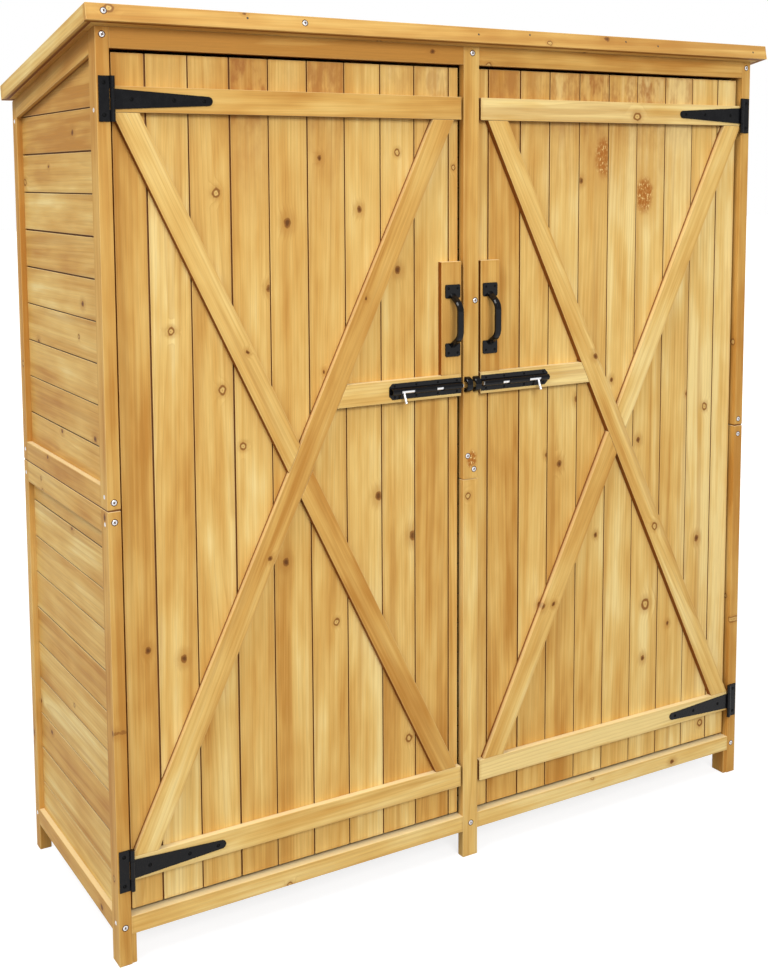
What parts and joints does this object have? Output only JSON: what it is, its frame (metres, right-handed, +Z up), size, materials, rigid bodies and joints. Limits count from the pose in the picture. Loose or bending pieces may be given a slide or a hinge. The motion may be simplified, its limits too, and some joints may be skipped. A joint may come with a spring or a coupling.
{
  "type": "wooden tool shed",
  "caption": "Narrow outdoor tool shed of pale boards with a sloped roof, two braced doors on strap hinges, pull handles and sliding bolts.",
  "frame": {"origin": "on the ground, under the middle of the shed's overall box, handles included", "axes": "+X to the right along the front, +Y from the front to the back, +Z up"},
  "size_m": [1.3898, 0.487, 1.5038],
  "materials": {
    "wood": "planed softwood with a honey stain",
    "black_metal": "satin black powder coat",
    "zinc": "bright zinc plate"
  },
  "bodies": {
    "cabinet": {"left_lower_posts": "wood", "left_upper_posts": "wood", "left_lower_rails": "wood", "left_upper_rails": "wood", "left_lower_boards": "wood", "left_upper_boards": "wood", "right_lower_posts": "wood", "right_upper_posts": "wood", "right_lower_rails": "wood", "right_upper_rails": "wood", "right_lower_boards": "wood", "right_upper_boards": "wood", "rear_lower_rails": "wood", "rear_upper_rails": "wood", "rear_lower_boards": "wood", "rear_upper_boards": "wood", "middle_post": "wood", "front_rails": "wood", "door_stops": "wood", "floor_panel": "wood", "floor_bearers": "wood", "roof_deck": "wood", "roof_frame": "wood", "front_fascia": "wood", "rear_fascia": "wood", "side_fascias": "wood", "hinge_leaves": "black_metal", "bolt_keepers": "black_metal"},
    "left_door": {"left_door_boards": "wood", "left_door_ledges": "wood", "left_door_braces": "wood", "left_handle_block": "wood", "left_handle": "black_metal", "left_hinge_straps": "black_metal", "left_bolt_housing": "black_metal"},
    "left_bolt": {"left_bolt": "zinc"},
    "right_door": {"right_door_boards": "wood", "right_door_ledges": "wood", "right_door_braces": "wood", "right_handle_block": "wood", "right_handle": "black_metal", "right_hinge_straps": "black_metal", "right_bolt_housing": "black_metal"},
    "right_bolt": {"right_bolt": "zinc"}
  },
  "joints": [
    {"name": "left_door_hinge", "type": "hinge", "parent": "cabinet", "child": "left_door", "pos_m": [-0.6505, -0.2175, 0.76225], "axis": [0, 0, -1], "range_deg": [0, 170]},
    {"name": "right_door_hinge", "type": "hinge", "parent": "cabinet", "child": "right_door", "pos_m": [0.6505, -0.2175, 0.76225], "axis": [0, 0, 1], "range_deg": [0, 170]},
    {"name": "left_bolt_slide", "type": "slide", "parent": "left_door", "child": "left_bolt", "axis": [1, 0, 0], "range_m": [0, 0.016]},
    {"name": "right_bolt_slide", "type": "slide", "parent": "right_door", "child": "right_bolt", "axis": [-1, 0, 0], "range_m": [0, 0.016]}
  ]
}
